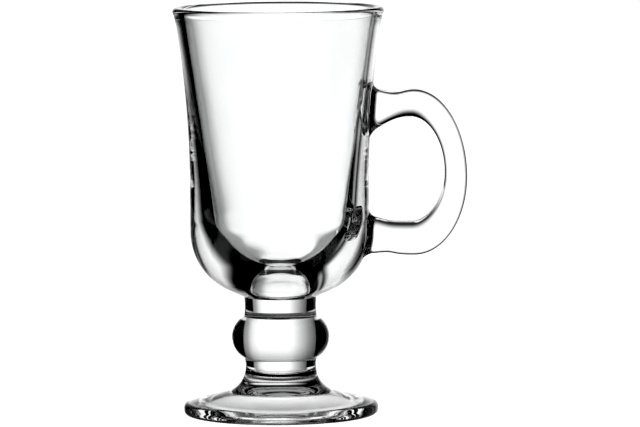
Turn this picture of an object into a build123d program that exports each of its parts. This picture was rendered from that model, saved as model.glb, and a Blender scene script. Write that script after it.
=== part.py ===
from build123d import *
import math
import os

# Footed glass mug for hot drinks: a foot, a stem of two collars and a knop, a bowl and a handle.
# Each piece is one gather of glass, and hot welds join them at the creases that show in the stem.
# Millimetres, +Z up, origin at the centre of the foot on the table, handle towards +X.

# Foot
foot_radius = 35.1
foot_height = 14.6
foot_edge_height = 4.5
foot_edge_round = 1.9
foot_under_round = 1.6
foot_slope = 14.6
foot_flare_start = 19.7
bearing_ring_width = 5.0
kick_height = 8.5

# Stem
weld_radius = 13.1
lower_collar_height = 5.9
lower_collar_waist = 12.7
knop_height = 15.0
knop_radius = 17.6
upper_collar_height = 7.0
upper_collar_waist = 12.6

# Bowl
bowl_height = 104.5
bowl_radius = 32.3
base_slope = 25.3
base_round = 23.0
flare_start = 41.5
rim_radius = 38.05
rim_bead_radius = 1.42
rim_bead_overhang = 0.63

# Hollow of the bowl: a tapered wall, a rounded heel, a coned flank and a small flat tip
rim_wall = 4.15
heel_radius = 22.9
heel_height = 20.3
heel_round = 7.5
tip_radius = 5.9
tip_round = 4.5
floor_thickness = 4.0

# Handle, with heights over the bottom of the bowl and reaches from its straight wall
handle_width = 12.0
handle_outer_round = 1.6
handle_inner_round = 4.4
handle_weld_round = 2.6
handle_weld_bite = 0.15
handle_reach = 35.15
handle_arm = 16.1
handle_side_height = 43.5
handle_crest_height = 74.75
handle_sole_height = 15.2
handle_side_thickness = 8.05
handle_top_thickness = 9.9
handle_sole_thickness = 11.85
finger_gap_lead = 1.2
finger_gap_lift = 1.5

# Edges of the handle's arms: the pull of the curve at the bow and at the root, its bend near the root,
# and the height of its end, inside the wall, over its start at the bow. A tail runs on from there
arm_end_depth = 2.3
arm_tail = 6.0
outer_root_pull = 14.0
inner_root_pull = 10.4
top_outer_pull = 6.0
top_outer_bend = -3.45
top_outer_lift = 2.15
top_inner_pull = 2.1
top_inner_bend = 0.3
top_inner_lift = -8.1
sole_inner_pull = 10.7
sole_inner_bend = 0.55
sole_inner_lift = 2.6
sole_outer_pull = 11.3
sole_outer_bend = 2.0
sole_outer_lift = 0.2

# Half sections are drawn on the side away from the handle, so that no seam runs under it
SECTION = Plane((0, 0, 0), x_dir=(-1, 0, 0), z_dir=(0, 1, 0))

# Levels of the welds, from the table up
collar_level = foot_height
knop_level = collar_level + lower_collar_height
neck_level = knop_level + knop_height
bowl_level = neck_level + upper_collar_height
rim_level = bowl_level + bowl_height


def draw_spool(bottom, height, middle_radius):
    """Draw half of a short piece of stem between two welds, drawn in or bulging at its middle."""
    top = bottom + height
    Line((0, bottom), (weld_radius, bottom))
    ThreePointArc((weld_radius, bottom), (middle_radius, bottom + height / 2), (weld_radius, top))
    Line((weld_radius, top), (0, top))
    Line((0, top), (0, bottom))


# Foot: a disc on a flat bearing ring with a hollow kick inside it, swept up into the stem
ring_outside = foot_radius - foot_under_round
ring_inside = ring_outside - bearing_ring_width
shoulder_radius = foot_radius - foot_edge_round
foot_flare_level = foot_edge_height + (shoulder_radius - foot_flare_start) * math.tan(math.radians(foot_slope))
slope_run = (-math.cos(math.radians(foot_slope)), math.sin(math.radians(foot_slope)))
kick_radius = (ring_inside**2 + kick_height**2) / (2 * kick_height)

with BuildPart() as foot:
    with BuildSketch(SECTION):
        with BuildLine():
            RadiusArc((0, kick_height), (ring_inside, 0), kick_radius)
            Line((ring_inside, 0), (ring_outside, 0))
            RadiusArc((ring_outside, 0), (foot_radius, foot_under_round), -foot_under_round)
            Line((foot_radius, foot_under_round), (foot_radius, foot_edge_height - foot_edge_round))
            RadiusArc(
                (foot_radius, foot_edge_height - foot_edge_round),
                (shoulder_radius, foot_edge_height),
                -foot_edge_round,
            )
            Line((shoulder_radius, foot_edge_height), (foot_flare_start, foot_flare_level))
            TangentArc((foot_flare_start, foot_flare_level), (weld_radius, foot_height), tangent=slope_run)
            Line((weld_radius, foot_height), (0, foot_height))
            Line((0, foot_height), (0, kick_height))
        make_face()
    revolve(axis=Axis.Z)
foot.part.label = "foot"

# Stem: a waisted collar, the knop and a second waisted collar
with BuildPart() as lower_collar:
    with BuildSketch(SECTION):
        with BuildLine():
            draw_spool(collar_level, lower_collar_height, lower_collar_waist)
        make_face()
    revolve(axis=Axis.Z)
lower_collar.part.label = "lower_collar"

with BuildPart() as knop:
    with BuildSketch(SECTION):
        with BuildLine():
            draw_spool(knop_level, knop_height, knop_radius)
        make_face()
    revolve(axis=Axis.Z)
knop.part.label = "knop"

with BuildPart() as upper_collar:
    with BuildSketch(SECTION):
        with BuildLine():
            draw_spool(neck_level, upper_collar_height, upper_collar_waist)
        make_face()
    revolve(axis=Axis.Z)
upper_collar.part.label = "upper_collar"

# Bowl: a coned and rounded base, a straight band for the handle and a flare up to the rim bead
slope_angle = math.radians(base_slope)
cone_radius = bowl_radius - base_round * (1 - math.sin(slope_angle))
cone_level = bowl_level + (cone_radius - weld_radius) * math.tan(slope_angle)
band_level = cone_level + base_round * math.cos(slope_angle)
flare_level = bowl_level + flare_start
bead_angle = math.degrees(math.acos(1 - rim_bead_overhang / rim_bead_radius))
bead_centre = (rim_radius - rim_bead_radius, rim_level - rim_bead_radius)
neck_radius = rim_radius - rim_bead_overhang
bead_level = bead_centre[1] - rim_bead_radius * math.sin(math.radians(bead_angle))


def draw_bowl_outside(inset=0):
    """Draw the outside of the bowl from the weld at the stem up to the underside of the rim bead."""
    Line((weld_radius - inset, bowl_level), (cone_radius - inset, cone_level))
    RadiusArc((cone_radius - inset, cone_level), (bowl_radius - inset, band_level), -base_round)
    Line((bowl_radius - inset, band_level), (bowl_radius - inset, flare_level))
    TangentArc((bowl_radius - inset, flare_level), (neck_radius - inset, bead_level), tangent=(0, 1))


def draw_bowl_filling(inset=0):
    """Draw half of the bowl as a block with no hollow, cut off under the rim bead."""
    draw_bowl_outside(inset)
    Line((neck_radius - inset, bead_level), (0, bead_level))
    Line((0, bead_level), (0, bowl_level))
    Line((0, bowl_level), (weld_radius - inset, bowl_level))


floor_level = bowl_level + floor_thickness
lip = Vector(rim_radius - rim_wall, bead_centre[1])
heel = Vector(heel_radius, bowl_level + heel_height)
tip = Vector(tip_radius, floor_level)
heel_start = heel + (lip - heel).normalized() * heel_round
heel_end = heel + (tip - heel).normalized() * heel_round
tip_start = tip + (heel - tip).normalized() * tip_round
tip_end = tip - Vector(tip_round, 0)

with BuildPart() as bowl:
    with BuildSketch(SECTION):
        with BuildLine():
            draw_bowl_outside()
            CenterArc(bead_centre, rim_bead_radius, -bead_angle, 90 + bead_angle)
            EllipticalCenterArc(bead_centre, bead_centre[0] - lip.X, rim_bead_radius, 90, arc_size=90)
            Line(lip, heel_start)
            Bezier(heel_start, heel, heel_end)
            Line(heel_end, tip_start)
            Bezier(tip_start, tip, tip_end)
            Line(tip_end, (0, floor_level))
            Line((0, floor_level), (0, bowl_level))
            Line((0, bowl_level), (weld_radius, bowl_level))
        make_face()
    revolve(axis=Axis.Z)
bowl.part.label = "bowl"

# Two blocks of the bowl's shape: the handle is trimmed by one, and its weld fillets run onto the other,
# which lies a little under the wall, so that the fillets meet the wall at a crease and not in a feather edge
with BuildPart() as bowl_block:
    with BuildSketch(SECTION):
        with BuildLine():
            draw_bowl_filling()
        make_face()
    revolve(axis=Axis.Z)

with BuildPart() as weld_block:
    with BuildSketch(SECTION):
        with BuildLine():
            draw_bowl_filling(handle_weld_bite)
        make_face()
    revolve(axis=Axis.Z)

# Handle: a bow of two half ellipses, arms that sweep in to the wall, and weld fillets at both roots
bow_x = bowl_radius + handle_arm
gap_x = bow_x - finger_gap_lead
root_x = bowl_radius - arm_end_depth
side_x = bowl_radius + handle_reach
gap_side_x = side_x - handle_side_thickness
side_level = bowl_level + handle_side_height
gap_level = side_level + finger_gap_lift
crest_level = bowl_level + handle_crest_height
sole_level = bowl_level + handle_sole_height
gap_top = crest_level - handle_top_thickness
gap_bottom = sole_level + handle_sole_thickness
touch = 0.001


def draw_bow(centre_x, centre_z, reach, top, bottom):
    """Draw the right half of the bow, as two quarter ellipses that meet at its widest level."""
    EllipticalCenterArc((centre_x, centre_z), reach - centre_x, top - centre_z, 0, arc_size=90)
    EllipticalCenterArc((centre_x, centre_z), reach - centre_x, centre_z - bottom, 270, arc_size=90)


def draw_arm(start, bow_pull, root_pull, root_bend, root_lift):
    """Draw one edge of an arm, level at the bow, and its straight tail well inside the wall."""
    edge = Bezier(
        start,
        (start[0] - bow_pull, start[1]),
        (root_x + root_pull, start[1] + root_bend),
        (root_x, start[1] + root_lift),
    )
    return Line(edge @ 1, edge @ 1 + edge % 1 * arm_tail)


def follows(curve, edge):
    """True for an edge of a cheek that has the shape of a curve of the outline."""
    middle = edge @ 0.5
    return curve.distance_to(Vector(middle.X, middle.Z)) < touch


def cheek_edges():
    """All edges of the two cheeks."""
    groups = handle.edges().group_by(Axis.Y)
    return groups[0] + groups[-1]


def on_weld_block(edge):
    """True for an edge that the handle makes where it goes into the weld block."""
    skin = weld_block.faces()
    middle = edge @ 0.5
    if middle.X < 0 or edge.geom_type == GeomType.CIRCLE:
        return False
    return all(min(face.distance_to(edge @ share) for face in skin) < touch for share in (0, 0.5, 1))


with BuildPart() as handle:
    with BuildSketch(Plane.XZ):
        with BuildLine() as outer_line:
            draw_bow(bow_x, side_level, side_x, crest_level, sole_level)
            top_outer = draw_arm(
                (bow_x, crest_level), top_outer_pull, outer_root_pull, top_outer_bend, top_outer_lift
            )
            sole_outer = draw_arm(
                (bow_x, sole_level), sole_outer_pull, outer_root_pull, sole_outer_bend, sole_outer_lift
            )
        with BuildLine() as gap_line:
            draw_bow(gap_x, gap_level, gap_side_x, gap_top, gap_bottom)
            top_inner = draw_arm(
                (gap_x, gap_top), top_inner_pull, inner_root_pull, top_inner_bend, top_inner_lift
            )
            sole_inner = draw_arm(
                (gap_x, gap_bottom), sole_inner_pull, inner_root_pull, sole_inner_bend, sole_inner_lift
            )
        with BuildLine():
            Line(top_outer @ 1, top_inner @ 1)
            Line(sole_inner @ 1, sole_outer @ 1)
        make_face()
    extrude(amount=handle_width / 2, both=True)
    fillet(cheek_edges().filter_by(lambda edge: follows(outer_line.line, edge)), handle_outer_round)
    fillet(cheek_edges().filter_by(lambda edge: follows(gap_line.line, edge)), handle_inner_round)
    add(weld_block.part)
    fillet(handle.edges().filter_by(on_weld_block), handle_weld_round)
    add(bowl_block.part, mode=Mode.SUBTRACT)
handle.part.label = "handle"

os.makedirs("parts", exist_ok=True)
export_step(foot.part, "parts/foot.step")
export_step(lower_collar.part, "parts/lower_collar.step")
export_step(knop.part, "parts/knop.step")
export_step(upper_collar.part, "parts/upper_collar.step")
export_step(bowl.part, "parts/bowl.step")
export_step(handle.part, "parts/handle.step")
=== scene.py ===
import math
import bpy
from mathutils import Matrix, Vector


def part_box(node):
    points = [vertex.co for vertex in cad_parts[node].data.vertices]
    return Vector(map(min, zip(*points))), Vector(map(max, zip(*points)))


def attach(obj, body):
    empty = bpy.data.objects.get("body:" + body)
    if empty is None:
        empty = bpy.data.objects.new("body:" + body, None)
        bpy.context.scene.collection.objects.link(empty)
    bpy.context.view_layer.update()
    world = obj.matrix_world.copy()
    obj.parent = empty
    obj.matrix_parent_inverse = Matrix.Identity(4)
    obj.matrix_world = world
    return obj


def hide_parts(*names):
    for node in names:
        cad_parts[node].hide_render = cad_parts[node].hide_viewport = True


bl_info = {
    "name": "Footed glass mug",
    "version": (1, 0, 0),
    "blender": (4, 5, 0),
    "location": "3D View > Sidebar > Mug",
    "description": "Builds a clear glass footed mug, piece by piece, in the place of its packed solids",
    "category": "Object",
}

import bmesh
import bpy
from bpy.props import FloatProperty, FloatVectorProperty, IntProperty, PointerProperty
from bpy.types import Operator, Panel, PropertyGroup
from mathutils import Matrix, Vector

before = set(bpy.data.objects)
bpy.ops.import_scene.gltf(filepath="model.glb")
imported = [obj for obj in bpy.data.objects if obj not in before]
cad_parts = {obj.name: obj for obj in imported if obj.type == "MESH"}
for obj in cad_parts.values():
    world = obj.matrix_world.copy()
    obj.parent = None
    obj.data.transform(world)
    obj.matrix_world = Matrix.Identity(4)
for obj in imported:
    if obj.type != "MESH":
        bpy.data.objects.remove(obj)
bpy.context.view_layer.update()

MM = 0.001
BODY = "root"

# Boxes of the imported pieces, from the table up
FOOT_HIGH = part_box("foot")[1]
LOWER_LOW, LOWER_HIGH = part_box("lower_collar")
KNOP_LOW, KNOP_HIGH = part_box("knop")
UPPER_LOW, UPPER_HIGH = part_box("upper_collar")
BOWL_LOW, BOWL_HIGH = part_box("bowl")
HANDLE_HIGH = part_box("handle")[1]

# How finely the foot is divided, from its kick over the bearing ring and the edge up to the weld
KICK_ROWS = 12
FOOT_SAMPLES_PER_STUD = 4
STUD_ROWS = 4
UNDER_ROWS = 8
EDGE_ROWS = 2
SHOULDER_ROWS = 10
TOP_ROWS = 12
SWEEP_ROWS = 14

# How finely the stem is divided, round and upwards
STEM_SEGMENTS = 240
COLLAR_ROWS = 12
KNOP_ROWS = 48

# How finely the bowl is divided, round, up its outside, over the rim and down the hollow
BOWL_SEGMENTS = 240
CONE_ROWS = 10
WALL_ROWS = 20
FLARE_ROWS = 16
NECK_ROWS = 16
BEAD_ROWS = 16
LIP_ROWS = 14
HOLLOW_ROWS = 24
HEEL_ROWS = 24
FLANK_ROWS = 10
TIP_ROWS = 20
BOTTOM_ROWS = 4

# How finely the handle is divided, round its section and along its arms and bow
ROOT_ACROSS = 24
ROOT_UP = 20
CORNER_STEPS = 5
ARM_RINGS = 26
BOW_RINGS = 96

# Power that crowds the rings of an arm towards the wall
ARM_CROWDING = 1.8

# Windows of the wall round the roots of the handle, and the patches under the roots
WINDOW_MARGIN = 3 * MM
WINDOW_RINGS = 6
PATCH_SHARES = (0.8, 0.55, 0.3)
BOWL_CELL = 2 * math.pi / BOWL_SEGMENTS
WINDOW_HALF_ANGLE = ROOT_ACROSS / 2 * BOWL_CELL
WINDOW_COLUMN = BOWL_SEGMENTS // 2 - ROOT_ACROSS // 2

# Halvings of a search, and how far under the bead the neck is looked for, in radii of the bead
BISECTIONS = 60
NECK_SEARCH = 3


def length(name, description, default):
    """A size in metres."""
    return FloatProperty(name=name, description=description, default=default, unit="LENGTH", precision=5)


def tilt(name, description, degrees):
    """An angle, given in degrees."""
    return FloatProperty(name=name, description=description, default=math.radians(degrees), subtype="ANGLE")


def amount(name, description, default, least):
    """A plain number that has a least value."""
    return FloatProperty(name=name, description=description, default=default, min=least)


def share(name, description, default):
    """A plain number from nothing to one."""
    return FloatProperty(name=name, description=description, default=default, min=0, max=1, subtype="FACTOR")


def colour(name, description, default):
    """A colour without alpha."""
    return FloatVectorProperty(
        name=name, description=description, default=default, min=0, max=1, size=3, subtype="COLOR"
    )


class MUG_PG_foot(PropertyGroup):
    """Sizes of the foot."""

    radius: length("Radius", "Outside radius of the foot", FOOT_HIGH.x)
    height: length("Height", "Level of the weld over the table", FOOT_HIGH.z)
    edge_height: length("Edge height", "Level of the crease on top of the edge", 4.5 * MM)
    edge_round: length("Edge round", "Rounding of the upper edge", 1.9 * MM)
    under_round: length("Under round", "Rounding of the lower edge", 1.6 * MM)
    slope: tilt("Slope", "Rise of the top of the foot", 14.6)
    flare_start: length("Flare start", "Radius where the sweep up into the stem starts", 19.7 * MM)
    ring_width: length("Ring width", "Width of the ring that the mug stands on", 5.0 * MM)
    kick_height: length("Kick height", "Depth of the hollow inside the ring", 8.5 * MM)
    studs: IntProperty(name="Studs", description="Studs round the bearing ring", default=150, min=12)
    stud_depth: length("Stud depth", "Height of the studs of the bearing ring", 0.2 * MM)


class MUG_PG_stem(PropertyGroup):
    """Sizes of the two collars and the knop."""

    weld_radius: length("Weld radius", "Radius of the welds of the stem", LOWER_HIGH.x)
    lower_waist: length("Lower waist", "Radius of the lower collar at its middle", 12.7 * MM)
    knop_radius: length("Knop radius", "Radius of the knop at its middle", KNOP_HIGH.x)
    upper_waist: length("Upper waist", "Radius of the upper collar at its middle", 12.9 * MM)


class MUG_PG_bowl(PropertyGroup):
    """Sizes of the bowl."""

    rim_radius: length("Rim radius", "Outside radius of the rim bead", BOWL_HIGH.x)
    rim_level: length("Rim level", "Height of the rim over the table", BOWL_HIGH.z)
    radius: length("Band radius", "Outside radius of the straight band", 32.3 * MM)
    base_slope: tilt("Base slope", "Rise of the coned base", 25.3)
    base_round: length("Base round", "Rounding between the cone and the band", 23.0 * MM)
    flare_start: length("Flare start", "Height over the weld where the flare starts", 41.5 * MM)
    bead_radius: length("Bead radius", "Radius of the rim bead", 1.42 * MM)
    bead_overhang: length("Bead overhang", "How far the bead stands out over the wall", 0.63 * MM)
    neck_slope: tilt("Neck slope", "Slope of the neck under the bead", 20)
    rim_wall: length("Wall at the rim", "Glass between the outside of the bead and the hollow", 4.15 * MM)
    heel_radius: length("Heel radius", "Radius of the hollow at its heel", 22.9 * MM)
    heel_height: length("Heel height", "Height of the heel over the weld", 20.3 * MM)
    heel_round: length("Heel round", "Length of the rounding on each side of the heel", 7.5 * MM)
    tip_radius: length("Tip radius", "Radius of the flat tip of the hollow", 5.9 * MM)
    tip_round: length("Tip round", "Length of the rounding on each side of the tip's edge", 4.5 * MM)
    floor_thickness: length("Floor thickness", "Glass under the tip", 4.0 * MM)


class MUG_PG_handle(PropertyGroup):
    """Sizes of the handle. Levels are over the table and reaches are from the axis of the mug."""

    half_width: length("Half width", "Half of the width between the cheeks", 6.0 * MM)
    outer_round: length("Outer round", "Rounding of the outer edges", 1.6 * MM)
    inner_round: length("Inner round", "Rounding of the edges round the finger gap", 4.4 * MM)
    side_round: length("Side round", "Rounding of the inner edges where the bow is widest", 2.2 * MM)
    weld_round: length("Weld round", "Radius of the fillets at the wall", 2.6 * MM)
    weld_bite: length("Weld bite", "How far the fillets run on under the wall", 0.15 * MM)
    weld_blend: length("Weld blend", "Length over which a section takes the wall's curve", 6.0 * MM)
    reach: length("Reach", "Outside of the bow", HANDLE_HIGH.x)
    bow_x: length("Bow centre", "Reach of the centre of the bow's outer curve", 48.4 * MM)
    gap_x: length("Gap centre", "Reach of the centre of the finger gap", 47.2 * MM)
    side_level: length("Side level", "Level where the bow is widest", 86.0 * MM)
    gap_level: length("Gap level", "Level where the finger gap is widest", 87.5 * MM)
    crest: length("Crest", "Top of the bow", 117.25 * MM)
    sole: length("Sole", "Bottom of the bow", 57.7 * MM)
    side_thickness: length("Side thickness", "Glass at the widest level", 8.05 * MM)
    top_thickness: length("Top thickness", "Glass at the crest", 9.9 * MM)
    sole_thickness: length("Sole thickness", "Glass at the sole", 11.85 * MM)
    root_x: length("Root", "Reach of the ends of the arms, inside the wall", 30.0 * MM)
    outer_root_pull: length("Outer root pull", "Pull of the outer edges at the root", 14.0 * MM)
    inner_root_pull: length("Inner root pull", "Pull of the inner edges at the root", 10.4 * MM)


class MUG_PG_glass(PropertyGroup):
    """Finish of the glass."""

    tint: colour("Tint", "Colour of the glass", (0.985, 0.995, 0.995))
    clear: colour("Clear", "Colour of its clearest parts", (1.0, 1.0, 1.0))
    bend: amount("Bend", "Index of refraction", 1.52, 1)
    ripple: length("Ripple", "Depth of the ripples that the mould left", 0.02 * MM)
    ripple_pitch: length("Ripple pitch", "Distance between the ripples", 14.0 * MM)
    haze: share("Haze", "Roughness of the dullest parts", 0.012)


class MUG_PG_studio(PropertyGroup):
    """Floor, light and tone of the picture."""

    floor: colour("Floor", "Colour of the floor", (1.0, 1.0, 1.0))
    floor_size: length("Floor size", "Side of the floor", 16.0)
    backdrop: amount("Backdrop", "Brightness behind the mug", 1.5, 0)
    ceiling: amount("Ceiling", "Light overhead, as a share of the backdrop", 0.03, 0)
    lamp: share("Lamp", "Light of the lamp overhead, as a share of the backdrop", 0.4)
    black: share("Black", "Light that the picture shows as black", 0.06)
    contrast: amount("Contrast", "Contrast of the picture", 1.35, 0.1)


class MUG_PG_settings(PropertyGroup):
    """All sizes and finishes of the mug and its stage."""

    foot: PointerProperty(type=MUG_PG_foot)
    stem: PointerProperty(type=MUG_PG_stem)
    bowl: PointerProperty(type=MUG_PG_bowl)
    handle: PointerProperty(type=MUG_PG_handle)
    glass: PointerProperty(type=MUG_PG_glass)
    studio: PointerProperty(type=MUG_PG_studio)


# Small geometry


def lerp(a, b, t):
    """A point or number between two others."""
    return a + (b - a) * t


def spread(start, end, count):
    """Evenly spaced numbers, without the last one."""
    return [lerp(start, end, i / count) for i in range(count)]


def smooth(t):
    """A soft step from 0 to 1."""
    t = min(max(t, 0.0), 1.0)
    return t * t * (3 - 2 * t)


def arc(centre, radius, start, end, count):
    """Points of an arc of a half section, without the last one. Angles are in radians."""
    return [
        Vector((centre[0] + radius * math.cos(a), centre[1] + radius * math.sin(a)))
        for a in spread(start, end, count)
    ]


def run(start, end, count):
    """Points of a straight line, without the last one."""
    return [Vector(start).lerp(Vector(end), t) for t in spread(0, 1, count)]


def bezier(points, t):
    """A point of a cubic curve."""
    a, b, c, d = points
    s = 1 - t
    return a * s**3 + b * (3 * s * s * t) + c * (3 * s * t * t) + d * t**3


def quadratic(start, at, end, count):
    """Points of a curve drawn by its start, its corner and its end, without the last one."""
    return [lerp(lerp(start, at, t), lerp(at, end, t), t) for t in spread(0, 1, count)]


def rounded(before, at, after, reach, count):
    """A corner of an outline, rounded over a reach on each of its sides."""
    start = at + (before - at).normalized() * reach
    end = at + (after - at).normalized() * reach
    return quadratic(start, at, end, count) + [end]


def bisect(function, low, high):
    """The place where a falling function passes zero."""
    for _ in range(BISECTIONS):
        middle = (low + high) / 2
        if function(middle) > 0:
            low = middle
        else:
            high = middle
    return (low + high) / 2


class Skin:
    """Points and faces of one piece. Fused faces are those where it is welded to its neighbour."""

    def __init__(self):
        self.points = []
        self.faces = []
        self.fused = []

    def add(self, points):
        """Add points and give their numbers."""
        start = len(self.points)
        self.points.extend(tuple(p) for p in points)
        return list(range(start, len(self.points)))

    def face(self, corners, fused=False):
        """Add one face."""
        self.faces.append(tuple(corners))
        self.fused.append(fused)

    def strip(self, ring, other, fused=False):
        """Add the faces between two rings of points."""
        for i, corner in enumerate(ring):
            j = (i + 1) % len(ring)
            self.face((corner, ring[j], other[j], other[i]), fused)

    def fan(self, ring, point, fused=False):
        """Close a ring with faces that meet at a point."""
        (middle,) = self.add([point])
        for i, corner in enumerate(ring):
            self.face((corner, ring[(i + 1) % len(ring)], middle), fused)

    def cap(self, ring, rings, point, fused=True):
        """Close a ring with smaller and smaller rings and a point in their middle."""
        for points in rings:
            inner = self.add(points)
            self.strip(ring, inner, fused)
            ring = inner
        self.fan(ring, point, fused)

    def drop_unused(self):
        """Take out the points that no face uses."""
        used = sorted({corner for face in self.faces for corner in face})
        place = {old: new for new, old in enumerate(used)}
        self.points = [self.points[old] for old in used]
        self.faces = [tuple(place[corner] for corner in face) for face in self.faces]


def turn(radius, level, segments):
    """A ring of points round the axis of the mug."""
    return [
        (radius * math.cos(a), radius * math.sin(a), level)
        for a in spread(-math.pi, math.pi, segments)
    ]


def make_piece(name, skin, node, materials):
    """Make the mesh of a piece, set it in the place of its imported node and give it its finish."""
    mesh = bpy.data.meshes.new(name)
    mesh.from_pydata(skin.points, [], skin.faces)
    for material in materials:
        mesh.materials.append(material)
    for polygon, fused in zip(mesh.polygons, skin.fused):
        polygon.material_index = int(fused)
        polygon.use_smooth = True
    shape = bmesh.new()
    shape.from_mesh(mesh)
    bmesh.ops.recalc_face_normals(shape, faces=shape.faces)
    gaps = [edge for edge in shape.edges if len(edge.link_faces) != 2]
    if gaps:
        raise RuntimeError(f"{name} is not closed: {len(gaps)} open edges")
    for edge in shape.edges:
        first, second = edge.link_faces
        edge.smooth = first.material_index == second.material_index
    shape.to_mesh(mesh)
    shape.free()
    piece = bpy.data.objects.new(name, mesh)
    bpy.context.scene.collection.objects.link(piece)
    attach(piece, BODY)
    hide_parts(node)
    return piece


# Finishes

# Noise of the glass: its detail, how much finer the polish is than the ripples,
# and the heights of the noise between which the haze and the tint come in
RIPPLE_DETAIL = 2.0
RIPPLE_ROUGHNESS = 0.4
POLISH_FINENESS = 2.5
POLISH_DETAIL = 4.0
HAZE_START = 0.45
HAZE_END = 0.8
TINT_START = 0.3
TINT_END = 0.7


def node(tree, kind, **values):
    """A new shader node, with some of its settings or inputs set."""
    made = tree.nodes.new(kind)
    for key, value in values.items():
        if key in made.bl_rna.properties:
            setattr(made, key, value)
        else:
            made.inputs[key.replace("_", " ")].default_value = value
    return made


def glass_finish(glass):
    """Clear pressed glass: faint ripples, a trace of tint and a polish that is not even all over."""
    made = bpy.data.materials.get("clear_pressed_glass")
    if made:
        return made
    made = bpy.data.materials.new("clear_pressed_glass")
    made.use_nodes = True
    tree = made.node_tree
    shader = tree.nodes["Principled BSDF"]
    shader.inputs["Transmission Weight"].default_value = 1.0
    shader.inputs["IOR"].default_value = glass.bend
    place = node(tree, "ShaderNodeTexCoord")
    ripple = node(
        tree,
        "ShaderNodeTexNoise",
        Scale=1 / glass.ripple_pitch,
        Detail=RIPPLE_DETAIL,
        Roughness=RIPPLE_ROUGHNESS,
    )
    polish = node(
        tree, "ShaderNodeTexNoise", Scale=POLISH_FINENESS / glass.ripple_pitch, Detail=POLISH_DETAIL
    )
    bump = node(tree, "ShaderNodeBump", Strength=1.0, Distance=glass.ripple)
    haze = node(
        tree,
        "ShaderNodeMapRange",
        interpolation_type="SMOOTHSTEP",
        From_Min=HAZE_START,
        From_Max=HAZE_END,
        To_Max=glass.haze,
    )
    tint = node(tree, "ShaderNodeValToRGB")
    stops = (TINT_START, glass.tint), (TINT_END, glass.clear)
    for element, (height, shade) in zip(tint.color_ramp.elements, stops):
        element.position = height
        element.color = (*shade, 1)
    for texture in (ripple, polish):
        tree.links.new(place.outputs["Object"], texture.inputs["Vector"])
    tree.links.new(ripple.outputs["Fac"], bump.inputs["Height"])
    tree.links.new(bump.outputs["Normal"], shader.inputs["Normal"])
    tree.links.new(polish.outputs["Fac"], haze.inputs["Value"])
    tree.links.new(haze.outputs["Result"], shader.inputs["Roughness"])
    tree.links.new(ripple.outputs["Fac"], tint.inputs["Fac"])
    tree.links.new(tint.outputs["Color"], shader.inputs["Base Color"])
    return made


def fused_finish():
    """Faces inside the welds, where glass has run into glass and nothing shows."""
    made = bpy.data.materials.get("fused_weld")
    if made:
        return made
    made = bpy.data.materials.new("fused_weld")
    made.use_nodes = True
    tree = made.node_tree
    tree.nodes.remove(tree.nodes["Principled BSDF"])
    clear = node(tree, "ShaderNodeBsdfTransparent")
    tree.links.new(clear.outputs["BSDF"], tree.nodes["Material Output"].inputs["Surface"])
    return made


def finishes(settings):
    """The two finishes of every piece."""
    return glass_finish(settings.glass), fused_finish()


# Foot


def foot_outline(foot, weld_radius):
    """Half section from the outside of the bearing ring up to the weld."""
    ring_outside = foot.radius - foot.under_round
    shoulder = foot.radius - foot.edge_round
    rise = math.tan(foot.slope)
    flare_level = foot.edge_height + (shoulder - foot.flare_start) * rise
    start = Vector((foot.flare_start, flare_level))
    end = Vector((weld_radius, foot.height))
    across = Vector((math.sin(foot.slope), math.cos(foot.slope)))
    reach = end - start
    sweep = reach.length_squared / (2 * reach.dot(across))
    centre = start + across * sweep
    first = math.atan2(start.y - centre.y, start.x - centre.x)
    last = math.atan2(end.y - centre.y, end.x - centre.x)
    if last > first:
        last -= 2 * math.pi
    outline = arc((ring_outside, foot.under_round), foot.under_round, -math.pi / 2, 0, UNDER_ROWS)
    edge_top = foot.edge_height - foot.edge_round
    outline += run((foot.radius, foot.under_round), (foot.radius, edge_top), EDGE_ROWS)
    outline += arc((shoulder, edge_top), foot.edge_round, 0, math.pi / 2, SHOULDER_ROWS)
    outline += run((shoulder, foot.edge_height), start, TOP_ROWS)
    outline += arc(centre, sweep, first, last, SWEEP_ROWS)
    return outline + [end]


def build_foot(settings):
    """The foot: kick, studded bearing ring, rounded edge and the sweep up to the weld."""
    foot = settings.foot
    weld_radius = settings.stem.weld_radius
    segments = foot.studs * FOOT_SAMPLES_PER_STUD
    ring_outside = foot.radius - foot.under_round
    ring_inside = ring_outside - foot.ring_width
    kick_radius = (ring_inside**2 + foot.kick_height**2) / (2 * foot.kick_height)
    skin = Skin()
    rings = []
    for radius in spread(ring_inside / KICK_ROWS, ring_inside, KICK_ROWS - 1):
        level = foot.kick_height - kick_radius + math.sqrt(kick_radius**2 - radius**2)
        rings.append(turn(radius, level, segments))
    steps = STUD_ROWS * FOOT_SAMPLES_PER_STUD
    for k in range(steps):
        radius = lerp(ring_inside, ring_outside, k / steps)
        wave = math.sin(2 * math.pi * STUD_ROWS * k / steps)
        fade = smooth(2 * k / steps) * smooth(2 * (steps - k) / steps)
        ring = []
        for i, (x, y, _) in enumerate(turn(radius, 0, segments)):
            crest = wave * math.cos(2 * math.pi * i / FOOT_SAMPLES_PER_STUD)
            ring.append((x, y, foot.stud_depth * fade * (1 - crest) / 2))
        rings.append(ring)
    for radius, level in foot_outline(foot, weld_radius):
        rings.append(turn(radius, level, segments))
    rings = [skin.add(ring) for ring in rings]
    skin.fan(rings[0], (0, 0, foot.kick_height))
    for ring, other in zip(rings, rings[1:]):
        skin.strip(ring, other)
    skin.fan(rings[-1], (0, 0, foot.height), fused=True)
    return make_piece("foot_glass", skin, "foot", finishes(settings))


# Stem


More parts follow.
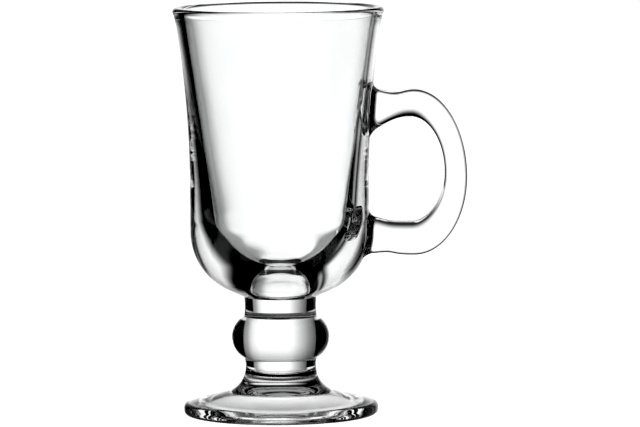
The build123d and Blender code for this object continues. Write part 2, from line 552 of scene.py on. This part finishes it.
def build_spool(settings, name, node_name, low, high, middle_radius, rows):
    """A short piece of stem between two welds, drawn in or bulging at its middle."""
    end_radius = settings.stem.weld_radius
    half = (high - low) / 2
    bulge = middle_radius - end_radius
    curve = (bulge**2 + half**2) / (2 * bulge)
    centre = middle_radius - curve
    swing = math.asin(half / curve)
    skin = Skin()
    rings = []
    for angle in spread(-swing, swing, rows) + [swing]:
        radius = centre + curve * math.cos(angle)
        rings.append(skin.add(turn(radius, (low + high) / 2 + curve * math.sin(angle), STEM_SEGMENTS)))
    skin.fan(rings[0], (0, 0, low), fused=True)
    for ring, other in zip(rings, rings[1:]):
        skin.strip(ring, other)
    skin.fan(rings[-1], (0, 0, high), fused=True)
    return make_piece(name, skin, node_name, finishes(settings))


# Bowl


class BowlShape:
    """The curves of the bowl's half section."""

    def __init__(self, settings):
        bowl = settings.bowl
        self.weld_radius = settings.stem.weld_radius
        self.weld_level = BOWL_LOW.z
        self.radius = bowl.radius
        self.base_round = bowl.base_round
        self.base_slope = bowl.base_slope
        self.cone_radius = bowl.radius - bowl.base_round * (1 - math.sin(bowl.base_slope))
        self.cone_level = self.weld_level + (self.cone_radius - self.weld_radius) * math.tan(bowl.base_slope)
        self.band_level = self.cone_level + bowl.base_round * math.cos(bowl.base_slope)
        self.flare_level = self.weld_level + bowl.flare_start
        self.bead_radius = bowl.bead_radius
        self.bead_centre = Vector((bowl.rim_radius - bowl.bead_radius, bowl.rim_level - bowl.bead_radius))
        bead_angle = math.acos(1 - bowl.bead_overhang / bowl.bead_radius)
        lean = bowl.rim_radius - bowl.bead_overhang - bowl.radius
        rise = self.bead_centre.y - bowl.bead_radius * math.sin(bead_angle) - self.flare_level
        self.flare = (lean**2 + rise**2) / (2 * lean)
        self.neck_slope = bowl.neck_slope
        self.neck = self.neck_curve()
        self.floor_level = self.weld_level + bowl.floor_thickness
        self.lip = Vector((bowl.rim_radius - bowl.rim_wall, self.bead_centre.y))
        self.heel = Vector((bowl.heel_radius, self.weld_level + bowl.heel_height))
        self.heel_round = bowl.heel_round
        self.tip = Vector((bowl.tip_radius, self.floor_level))
        self.tip_round = bowl.tip_round

    def outside(self, level):
        """Outside radius at a level."""
        if level < self.cone_level:
            return self.weld_radius + (level - self.weld_level) / math.tan(self.base_slope)
        if level < self.band_level:
            drop = self.band_level - level
            return self.radius - self.base_round + math.sqrt(self.base_round**2 - drop**2)
        if level < self.flare_level:
            return self.radius
        return self.radius + self.flare - math.sqrt(self.flare**2 - (level - self.flare_level) ** 2)

    def neck_curve(self):
        """Points that draw the neck between the wall and the bead: its start, its corner and its end."""
        slope = self.neck_slope
        end = self.bead_centre + self.bead_radius * Vector((math.cos(slope), -math.sin(slope)))
        along = Vector((math.sin(slope), math.cos(slope)))

        def over_wall(drop):
            point = end - along * drop
            return point.x - self.outside(point.y)

        drop = bisect(over_wall, 0, NECK_SEARCH * self.bead_radius)
        middle = end - along * drop
        level = middle.y - drop
        return Vector((self.outside(level), level)), middle, end

    def on_wall(self, angle, level):
        """A point of the outside, by its angle from the handle's plane and its level."""
        radius = self.outside(level)
        return (radius * math.cos(angle), radius * math.sin(angle), level)

    def inside(self):
        """Half section of the neck, the rim bead and the hollow, from the wall to the axis."""
        outline = quadratic(*self.neck, NECK_ROWS)
        outline += arc(self.bead_centre, self.bead_radius, -self.neck_slope, math.pi / 2, BEAD_ROWS)
        crown = self.bead_centre + Vector((0, self.bead_radius))
        lean = crown.x - self.lip.x
        outline += [
            Vector((crown.x - lean * math.sin(a), self.lip.y + self.bead_radius * math.cos(a)))
            for a in spread(0, math.pi / 2, LIP_ROWS)
        ]
        bottom = Vector((0, self.floor_level))
        heel = rounded(self.lip, self.heel, self.tip, self.heel_round, HEEL_ROWS)
        tip = rounded(self.heel, self.tip, bottom, self.tip_round, TIP_ROWS)
        outline += run(self.lip, heel[0], HOLLOW_ROWS) + heel
        outline += run(heel[-1], tip[0], FLANK_ROWS)[1:] + tip
        return outline + run(tip[-1], bottom, BOTTOM_ROWS)[1:]


def window_border(low, high, top):
    """Angles and levels round a window of the wall, in the order of a root of the handle."""
    side = WINDOW_HALF_ANGLE
    near, far = (high, low) if top else (low, high)
    border = [(a, near) for a in spread(side, -side, ROOT_ACROSS)]
    border += [(-side, z) for z in spread(near, far, ROOT_UP)]
    border += [(a, far) for a in spread(-side, side, ROOT_ACROSS)]
    border += [(side, z) for z in spread(far, near, ROOT_UP)]
    return border


def wall_place(point):
    """Angle and level of a point of the wall."""
    return math.atan2(point[1], point[0]), point[2]


def root_patch(shape, loop):
    """Rings and middle point of the patch of wall that a root of the handle covers."""
    places = [wall_place(p) for p in loop]
    middle = sum(a for a, _ in places) / len(places), sum(z for _, z in places) / len(places)
    rings = [
        [shape.on_wall(lerp(middle[0], a, s), lerp(middle[1], z, s)) for a, z in places]
        for s in PATCH_SHARES
    ]
    return rings, shape.on_wall(*middle)


def bowl_levels(shape, loops):
    """Levels of the rings up the outside of the bowl, and the window of the wall round each root."""
    levels = spread(shape.weld_level, shape.cone_level, CONE_ROWS)
    windows = []
    start = shape.cone_level
    for loop, top in loops:
        low = min(p[2] for p in loop) - WINDOW_MARGIN
        high = max(p[2] for p in loop) + WINDOW_MARGIN
        levels += spread(start, low, WALL_ROWS)
        windows.append((len(levels), low, high, loop, top))
        levels += spread(low, high, ROOT_UP)
        start = high
    return levels + spread(start, shape.neck[0].y, FLARE_ROWS), windows


def fill_window(skin, shape, rings, window):
    """Faces from the border of a window of the wall to a root of the handle, and the patch under the root."""
    at, low, high, loop, top = window
    border = window_border(low, high, top)
    ring = []
    for angle, level in border:
        column = WINDOW_COLUMN + round((angle + WINDOW_HALF_ANGLE) / BOWL_CELL)
        row = at + round((level - low) / (high - low) * ROOT_UP)
        ring.append(rings[row][column])
    places = [wall_place(p) for p in loop]
    for k in range(1, WINDOW_RINGS):
        t = k / WINDOW_RINGS
        points = [
            shape.on_wall(lerp(b[0], p[0], t), lerp(b[1], p[1], t)) for b, p in zip(border, places)
        ]
        inner = skin.add(points)
        skin.strip(ring, inner)
        ring = inner
    inner = skin.add(loop)
    skin.strip(ring, inner)
    skin.cap(inner, *root_patch(shape, loop))


def build_bowl(settings):
    """The bowl, with a patch of fused faces under each root of the handle."""
    shape = BowlShape(settings)
    loops = [(root_loop(settings, shape, top), top) for top in (False, True)]
    levels, windows = bowl_levels(shape, loops)
    skin = Skin()
    rings = [skin.add(turn(shape.outside(z), z, BOWL_SEGMENTS)) for z in levels]
    rings += [skin.add(turn(p.x, p.y, BOWL_SEGMENTS)) for p in shape.inside()]
    columns = range(WINDOW_COLUMN, WINDOW_COLUMN + ROOT_ACROSS)
    covered = {row for at, *_ in windows for row in range(at, at + ROOT_UP)}
    skin.fan(rings[0], (0, 0, shape.weld_level), fused=True)
    for row, (ring, other) in enumerate(zip(rings, rings[1:])):
        for i in range(BOWL_SEGMENTS):
            if row in covered and i in columns:
                continue
            j = (i + 1) % BOWL_SEGMENTS
            skin.face((ring[i], ring[j], other[j], other[i]))
    skin.fan(rings[-1], (0, 0, shape.floor_level))
    for window in windows:
        fill_window(skin, shape, rings, window)
    skin.drop_unused()
    return make_piece("bowl_glass", skin, "bowl", finishes(settings))


# Handle

# Edges of the arms, in millimetres: pull at the bow, bend near the root, and lift of the end over the start
TOP_OUTER = (6.0, -3.45, 2.15)
TOP_INNER = (2.1, 0.3, -8.1)
SOLE_INNER = (10.7, 0.55, 2.6)
SOLE_OUTER = (11.3, 2.0, 0.2)


def arm_edge(handle, start, root_pull, pull, bend, lift):
    """The curve of one edge of an arm, from the bow into the wall."""
    return (
        start,
        start - Vector((pull * MM, 0)),
        Vector((handle.root_x + root_pull, start.y + bend * MM)),
        Vector((handle.root_x, start.y + lift * MM)),
    )


def arm_edges(handle, top):
    """The outer and inner edge of the top arm or of the lower arm."""
    if top:
        outer = Vector((handle.bow_x, handle.crest))
        inner = Vector((handle.gap_x, handle.crest - handle.top_thickness))
        shapes = TOP_OUTER, TOP_INNER
    else:
        outer = Vector((handle.bow_x, handle.sole))
        inner = Vector((handle.gap_x, handle.sole + handle.sole_thickness))
        shapes = SOLE_OUTER, SOLE_INNER
    return (
        arm_edge(handle, outer, handle.outer_root_pull, *shapes[0]),
        arm_edge(handle, inner, handle.inner_root_pull, *shapes[1]),
    )


def section(half_width, half_height, outer, inner):
    """Points round a rectangle with two outer and two inner roundings, from the middle of an outer one."""
    corners = []
    for x, z in ((1, 1), (-1, 1), (-1, -1), (1, -1)):
        rounding = outer if z > 0 else inner
        corners.append((Vector((x * (half_width - rounding), z * (half_height - rounding))), rounding))
    points = []
    for k in range(4):
        count = (ROOT_UP if k % 2 else ROOT_ACROSS) - 2 * CORNER_STEPS
        (here, first), (there, second) = corners[k], corners[(k + 1) % 4]
        begin = math.pi / 4 + k * math.pi / 2
        end = begin + math.pi / 4
        points += arc(here, first, begin, end, CORNER_STEPS)
        out = Vector((math.cos(end), math.sin(end)))
        points += run(here + out * first, there + out * second, count)
        points += arc(there, second, end, end + math.pi / 4, CORNER_STEPS)
    return points


def edge_point(shape, edge, gap):
    """The point of an arm's edge that lies a gap outside the wall."""

    def clearance(t):
        point = bezier(edge, t)
        return point.x - shape.outside(point.y) - gap

    return bezier(edge, bisect(clearance, 0, 1))


def arm_ring(handle, shape, edges, along):
    """A section of an arm, swollen by its weld fillet. Along is 0 at the wall and 1 at the bow."""
    gaps = [along * (edge[0].x - shape.outside(edge[0].y)) for edge in edges]
    outer, inner = (edge_point(shape, edge, gap) for edge, gap in zip(edges, gaps))
    depth = gaps[1]
    swell = 0.0
    left = handle.weld_round - depth - handle.weld_bite
    if left > 0:
        swell = handle.weld_round - math.sqrt(handle.weld_round**2 - left**2)
    middle = (outer + inner) / 2
    height = outer - inner
    outward = height.normalized()
    hold = 1 - smooth(depth / handle.weld_blend)
    points = []
    rounds = handle.outer_round + swell, handle.inner_round + swell
    for across, up in section(handle.half_width + swell, height.length / 2 + swell, *rounds):
        x, z = middle + outward * up
        if hold > 0:
            wall = math.sqrt(shape.outside(z) ** 2 - across**2)
            x = lerp(x, wall + depth, hold)
        points.append((x, across, z))
    return points


def root_loop(settings, shape, top):
    """The line on the wall where a root of the handle meets it."""
    return arm_ring(settings.handle, shape, arm_edges(settings.handle, top), 0.0)


def bow_ring(handle, angle):
    """A section of the bow, by the angle from its centre."""
    gap_top = handle.crest - handle.top_thickness
    gap_bottom = handle.sole + handle.sole_thickness
    if angle >= 0:
        outer_rise = handle.crest - handle.side_level
        inner_rise = gap_top - handle.gap_level
    else:
        outer_rise = handle.side_level - handle.sole
        inner_rise = handle.gap_level - gap_bottom
    turned = Vector((math.cos(angle), math.sin(angle)))
    outer = Vector((
        handle.bow_x + (handle.reach - handle.bow_x) * turned.x,
        handle.side_level + outer_rise * turned.y,
    ))
    inner = Vector((
        handle.gap_x + (handle.reach - handle.side_thickness - handle.gap_x) * turned.x,
        handle.gap_level + inner_rise * turned.y,
    ))
    height = outer - inner
    middle = (outer + inner) / 2
    outward = height.normalized()
    inner_round = lerp(handle.inner_round, handle.side_round, turned.x**2)
    points = []
    for across, up in section(handle.half_width, height.length / 2, handle.outer_round, inner_round):
        x, z = middle + outward * up
        points.append((x, across, z))
    return points


def build_handle(settings):
    """The handle: two arms that swell into weld fillets at the wall, and the bow between them."""
    handle = settings.handle
    shape = BowlShape(settings)
    skin = Skin()
    steps = [(k / ARM_RINGS) ** ARM_CROWDING for k in range(ARM_RINGS)]
    rings = [arm_ring(handle, shape, arm_edges(handle, True), along) for along in steps]
    rings += [bow_ring(handle, angle) for angle in spread(math.pi / 2, -math.pi / 2, BOW_RINGS)]
    rings.append(bow_ring(handle, -math.pi / 2))
    rings += [arm_ring(handle, shape, arm_edges(handle, False), along) for along in reversed(steps)]
    caps = rings[0], rings[-1]
    rings = [skin.add(ring) for ring in rings]
    for ring, other in zip(rings, rings[1:]):
        skin.strip(ring, other)
    for ring, loop in zip((rings[0], rings[-1]), caps):
        skin.cap(ring, *root_patch(shape, loop))
    return make_piece("handle_glass", skin, "handle", finishes(settings))


# Stage

# The photo's camera: place in metres, turns in radians and lens in millimetres
CAMERA_PLACE = Vector((0.0, -1.990, 0.255))
CAMERA_PITCH = 0.0914950
CAMERA_YAW = 0.00727878
CAMERA_ROLL = 0.00728644
CAMERA_LENS = 312.01

FLOOR_ROUGHNESS = 0.9
FLOOR_GLOW = 1.0

# Surfaces that a ray may pass or be mirrored by
PASSED_SURFACES = 40
MIRRORED_SURFACES = 24


def build_camera():
    """A long lens, a little over the rim, at the distance that gives the ellipses of rim and foot."""
    data = bpy.data.cameras.new("camera")
    data.lens = CAMERA_LENS
    camera = bpy.data.objects.new("camera", data)
    bpy.context.scene.collection.objects.link(camera)
    flat = math.cos(CAMERA_PITCH)
    ahead = Vector((math.sin(CAMERA_YAW) * flat, math.cos(CAMERA_YAW) * flat, -math.sin(CAMERA_PITCH)))
    level = Vector((math.cos(CAMERA_YAW), -math.sin(CAMERA_YAW), 0))
    over = level.cross(ahead)
    right = level * math.cos(CAMERA_ROLL) - over * math.sin(CAMERA_ROLL)
    up = level * math.sin(CAMERA_ROLL) + over * math.cos(CAMERA_ROLL)
    turned = Matrix((right, up, -ahead)).transposed().to_4x4()
    camera.matrix_world = Matrix.Translation(CAMERA_PLACE) @ turned
    bpy.context.scene.camera = camera
    return camera


def build_floor(studio):
    """A plain white light table, lit from below, so that the mug throws no shadow on it."""
    half = studio.floor_size / 2
    mesh = bpy.data.meshes.new("floor")
    corners = [(-half, -half, 0), (half, -half, 0), (half, half, 0), (-half, half, 0)]
    mesh.from_pydata(corners, [], [(0, 1, 2, 3)])
    finish = bpy.data.materials.new("light_table")
    finish.use_nodes = True
    shader = finish.node_tree.nodes["Principled BSDF"]
    shader.inputs["Base Color"].default_value = (*studio.floor, 1)
    shader.inputs["Roughness"].default_value = FLOOR_ROUGHNESS
    shader.inputs["Emission Color"].default_value = (*studio.floor, 1)
    shader.inputs["Emission Strength"].default_value = FLOOR_GLOW
    mesh.materials.append(finish)
    floor = bpy.data.objects.new("floor", mesh)
    bpy.context.scene.collection.objects.link(floor)
    floor.visible_transmission = False
    floor.visible_glossy = False
    return floor


# Light of the backdrop, as solid glass shows it. In this table and the next ones, each stop has
# the angle from straight behind the mug, in degrees, and the light there, as a share of the backdrop
BACKDROP_FALL = (
    (-84.0, 1.0),
    (-74.0, 0.03),
    (-36.5, 0.03),
    (-35.5, 0.18),
    (-26.0, 0.37),
    (-17.0, 0.65),
    (-9.0, 0.95),
    (-6.0, 1.0),
    (18.0, 1.0),
    (27.0, 0.79),
    (33.0, 0.45),
    (39.0, 0.35),
    (40.0, 0.03),
    (74.0, 0.03),
    (84.0, 1.0),
)

# Light of the table beside the mug, as solid glass shows it
TABLE_FALL = (
    (-164.0, 1.0),
    (-159.0, 0.1),
    (-147.0, 0.1),
    (-142.0, 1.0),
    (-42.0, 1.0),
    (-36.0, 0.2),
    (-17.0, 0.65),
    (-6.0, 1.0),
    (18.0, 1.0),
    (36.0, 0.4),
    (42.0, 1.0),
    (142.0, 1.0),
    (147.0, 0.1),
    (159.0, 0.1),
    (164.0, 1.0),
)

# Light that shows through the bowl
BOWL_FALL = (
    (-37.0, 1.0),
    (-32.0, 0.03),
    (-27.0, 0.1),
    (-20.0, 0.36),
    (-14.0, 0.52),
    (-10.5, 0.8),
    (-8.0, 0.96),
    (-5.0, 1.0),
    (5.0, 1.0),
    (10.0, 1.1),
    (20.0, 1.15),
    (25.0, 0.85),
    (28.0, 0.2),
    (30.0, 0.03),
    (34.0, 0.03),
    (37.0, 1.0),
)

# Light of the table close to the mug, as the flank of the hollow shows it
FLANK_FALL = (
    (-75.0, 1.0),
    (-55.0, 0.4),
    (-30.0, 0.33),
    (-18.0, 0.45),
    (-8.0, 0.85),
    (-5.0, 1.0),
    (6.0, 1.0),
    (20.0, 0.5),
    (30.0, 0.4),
    (55.0, 0.4),
    (75.0, 1.0),
)

# Light of the table close to the mug, as solid glass shows it
NEAR_FALL = (
    (-50.0, 0.3),
    (-36.0, 0.06),
    (36.0, 0.06),
    (50.0, 0.3),
)

# Light of the table under the mug, as solid glass shows it
UNDER_FALL = (
    (-18.0, 1.0),
    (-10.0, 0.06),
    (10.0, 0.06),
    (18.0, 1.0),
)

# Light that the glass mirrors
MIRROR_FALL = (
    (-150.0, 0.2),
    (-110.0, 0.03),
    (-26.0, 0.03),
    (-20.0, 0.2),
    (-8.0, 0.75),
    (-3.0, 1.0),
    (16.0, 0.95),
    (24.0, 0.85),
    (33.0, 0.1),
    (35.0, 0.1),
    (38.0, 0.42),
    (41.0, 0.42),
    (45.0, 0.05),
    (110.0, 0.03),
    (150.0, 0.2),
)

# Edges between the lights over each other: the sine of the rise of a ray, and the half width of the change
LAMP_EDGE = (0.74, 0.04)
CEILING_EDGE = (0.28, 0.2)
TABLE_EDGE = (-0.215, 0.03)
NEAR_EDGE = (-0.42, 0.2)
FLANK_EDGE = (-0.42, 0.05)
MIRROR_EDGE = (-0.6, 0.07)
UNDER_EDGE = (-0.69, 0.06)
STEEP_EDGE = (-0.86, 0.05)

# Surfaces that a ray has passed at most when it leaves solid glass. Through the bowl it passes more
SOLID_SURFACES = 2

FULL_LIGHT = 1.0
FULL_TURN = 360

# The light in the bowl opens out downwards, by a turn at each side, over a range of the same sine
OPEN_TURN = math.radians(8)
OPEN_SIDE = math.radians(15)
OPEN_START = -0.16
OPEN_END = -0.4


def build_world(studio):
    """Light round the mug, by the direction of a ray and by the glass that it has been through."""
    world = bpy.data.worlds.new("studio")
    bpy.context.scene.world = world
    world.use_nodes = True
    tree = world.node_tree
    tree.nodes.clear()
    link = tree.links.new
    place = node(tree, "ShaderNodeTexCoord")
    split = node(tree, "ShaderNodeSeparateXYZ")
    link(place.outputs["Generated"], split.inputs["Vector"])
    path = node(tree, "ShaderNodeLightPath")

    def ranged(value, start, end, low, high):
        """A value carried from one range to another."""
        made = node(
            tree, "ShaderNodeMapRange", From_Min=start, From_Max=end, To_Min=low, To_Max=high
        )
        link(value, made.inputs["Value"])
        return made.outputs["Result"]

    def maths(operation, first, second):
        """Two values put together."""
        made = node(tree, "ShaderNodeMath", operation=operation)
        link(first, made.inputs[0])
        link(second, made.inputs[1])
        return made.outputs["Value"]

    azimuth = maths("ARCTAN2", split.outputs["X"], split.outputs["Y"])
    inward = ranged(azimuth, -OPEN_SIDE, OPEN_SIDE, OPEN_TURN, -OPEN_TURN)
    dip = ranged(split.outputs["Z"], OPEN_START, OPEN_END, 0.0, 1.0)
    opened = maths("ADD", azimuth, maths("MULTIPLY", inward, dip))

    def above(edge, soft):
        """0 for rays below an edge and 1 for rays above it."""
        made = node(
            tree,
            "ShaderNodeMapRange",
            interpolation_type="SMOOTHSTEP",
            From_Min=edge - soft,
            From_Max=edge + soft,
        )
        link(split.outputs["Z"], made.inputs["Value"])
        return made.outputs["Result"]

    def fall(stops, turned):
        """Light by the angle of a ray, from a table of stops."""
        made = node(tree, "ShaderNodeValToRGB")
        elements = made.color_ramp.elements
        elements[0].color = elements[1].color = (*[stops[0][1]] * 3, 1)
        for turn_to, light in stops:
            elements.new((turn_to + FULL_TURN / 2) / FULL_TURN).color = (light, light, light, 1)
        link(ranged(turned, -math.pi, math.pi, 0.0, 1.0), made.inputs["Fac"])
        return made.outputs["Color"]

    def mixed(share, first, second):
        """The first light where a share is 0 and the second where it is 1."""
        made = node(tree, "ShaderNodeMix", data_type="FLOAT")
        link(share, made.inputs[0])
        for socket, value in ((made.inputs[2], first), (made.inputs[3], second)):
            if isinstance(value, float):
                socket.default_value = value
            else:
                link(value, socket)
        return made.outputs[0]

    def more_than(count, depth):
        """1 for rays that have gone through more than a count of surfaces, or been mirrored more often."""
        made = node(tree, "ShaderNodeMath", operation="GREATER_THAN")
        made.inputs[1].default_value = count + 0.5
        link(path.outputs[depth], made.inputs[0])
        return made.outputs["Value"]

    ceiling = above(*CEILING_EDGE)
    beside = mixed(above(*TABLE_EDGE), fall(TABLE_FALL, azimuth), fall(BACKDROP_FALL, azimuth))
    close_by = mixed(above(*NEAR_EDGE), fall(NEAR_FALL, azimuth), beside)
    under = mixed(above(*STEEP_EDGE), FULL_LIGHT, fall(UNDER_FALL, azimuth))
    solid = mixed(ceiling, mixed(above(*UNDER_EDGE), under, close_by), studio.ceiling)
    flank = mixed(above(*UNDER_EDGE), FULL_LIGHT, fall(FLANK_FALL, azimuth))
    bowl = mixed(above(*FLANK_EDGE), flank, fall(BOWL_FALL, opened))
    through = mixed(more_than(SOLID_SURFACES, "Transmission Depth"), solid, bowl)
    low = mixed(above(*MIRROR_EDGE), studio.ceiling, fall(MIRROR_FALL, azimuth))
    overhead = mixed(above(*LAMP_EDGE), studio.ceiling, studio.lamp)
    mirrored = mixed(ceiling, low, overhead)
    strength = node(tree, "ShaderNodeMath", operation="MULTIPLY")
    strength.inputs[1].default_value = studio.backdrop
    link(mixed(more_than(0, "Glossy Depth"), through, mirrored), strength.inputs[0])
    background = node(tree, "ShaderNodeBackground")
    link(strength.outputs["Value"], background.inputs["Strength"])
    seen = node(tree, "ShaderNodeBackground")
    seen.inputs["Color"].default_value = (*studio.floor, 1)
    mix = node(tree, "ShaderNodeMixShader")
    output = node(tree, "ShaderNodeOutputWorld")
    link(path.outputs["Is Camera Ray"], mix.inputs["Fac"])
    link(background.outputs["Background"], mix.inputs[1])
    link(seen.outputs["Background"], mix.inputs[2])
    link(mix.outputs["Shader"], output.inputs["Surface"])
    return world


class MUG_OT_foot(Operator):
    """Build the foot"""

    bl_idname = "mug.foot"
    bl_label = "Foot"

    def execute(self, context):
        build_foot(context.scene.mug)
        return {"FINISHED"}


class MUG_OT_stem(Operator):
    """Build the two collars and the knop of the stem"""

    bl_idname = "mug.stem"
    bl_label = "Stem"

    def execute(self, context):
        settings = context.scene.mug
        stem = settings.stem
        lower = LOWER_LOW.z, LOWER_HIGH.z, stem.lower_waist, COLLAR_ROWS
        knop = KNOP_LOW.z, KNOP_HIGH.z, stem.knop_radius, KNOP_ROWS
        upper = UPPER_LOW.z, UPPER_HIGH.z, stem.upper_waist, COLLAR_ROWS
        build_spool(settings, "lower_collar_glass", "lower_collar", *lower)
        build_spool(settings, "knop_glass", "knop", *knop)
        build_spool(settings, "upper_collar_glass", "upper_collar", *upper)
        return {"FINISHED"}


class MUG_OT_bowl(Operator):
    """Build the bowl"""

    bl_idname = "mug.bowl"
    bl_label = "Bowl"

    def execute(self, context):
        build_bowl(context.scene.mug)
        return {"FINISHED"}


class MUG_OT_handle(Operator):
    """Build the handle"""

    bl_idname = "mug.handle"
    bl_label = "Handle"

    def execute(self, context):
        build_handle(context.scene.mug)
        return {"FINISHED"}


class MUG_OT_stage(Operator):
    """Build the floor, the light and the camera"""

    bl_idname = "mug.stage"
    bl_label = "Stage"

    def execute(self, context):
        studio = context.scene.mug.studio
        build_floor(studio)
        build_world(studio)
        build_camera()
        scene = context.scene
        view = scene.view_settings
        view.view_transform = "Standard"
        view.gamma = 1 / studio.contrast
        view.use_curve_mapping = True
        view.curve_mapping.black_level = [studio.black] * 3
        view.curve_mapping.update()
        scene.cycles.max_bounces = PASSED_SURFACES
        scene.cycles.transmission_bounces = PASSED_SURFACES
        scene.cycles.glossy_bounces = MIRRORED_SURFACES
        scene.cycles.transparent_max_bounces = PASSED_SURFACES
        return {"FINISHED"}


class MUG_PT_panel(Panel):
    """Lists the pieces of the mug and their sizes"""

    bl_idname = "MUG_PT_panel"
    bl_label = "Footed glass mug"
    bl_space_type = "VIEW_3D"
    bl_region_type = "UI"
    bl_category = "Mug"

    def draw(self, context):
        settings = context.scene.mug
        for name, step in STEPS:
            box = self.layout.box()
            box.operator(step)
            group = getattr(settings, name)
            for key in group.__annotations__:
                box.prop(group, key)


# Groups of settings, and the operator that builds from each
STEPS = (
    ("foot", "mug.foot"),
    ("stem", "mug.stem"),
    ("bowl", "mug.bowl"),
    ("handle", "mug.handle"),
    ("studio", "mug.stage"),
)

CLASSES = (
    MUG_PG_foot,
    MUG_PG_stem,
    MUG_PG_bowl,
    MUG_PG_handle,
    MUG_PG_glass,
    MUG_PG_studio,
    MUG_PG_settings,
    MUG_OT_foot,
    MUG_OT_stem,
    MUG_OT_bowl,
    MUG_OT_handle,
    MUG_OT_stage,
    MUG_PT_panel,
)


def register():
    """Register the classes and hang the settings on the scene."""
    for kind in CLASSES:
        bpy.utils.register_class(kind)
    bpy.types.Scene.mug = PointerProperty(type=MUG_PG_settings)


def unregister():
    """Undo register."""
    del bpy.types.Scene.mug
    for kind in reversed(CLASSES):
        bpy.utils.unregister_class(kind)


def main():
    """Build the mug and its stage."""
    register()
    bpy.ops.mug.foot()
    bpy.ops.mug.stem()
    bpy.ops.mug.bowl()
    bpy.ops.mug.handle()
    bpy.ops.mug.stage()


if __name__ == "__main__":
    main()
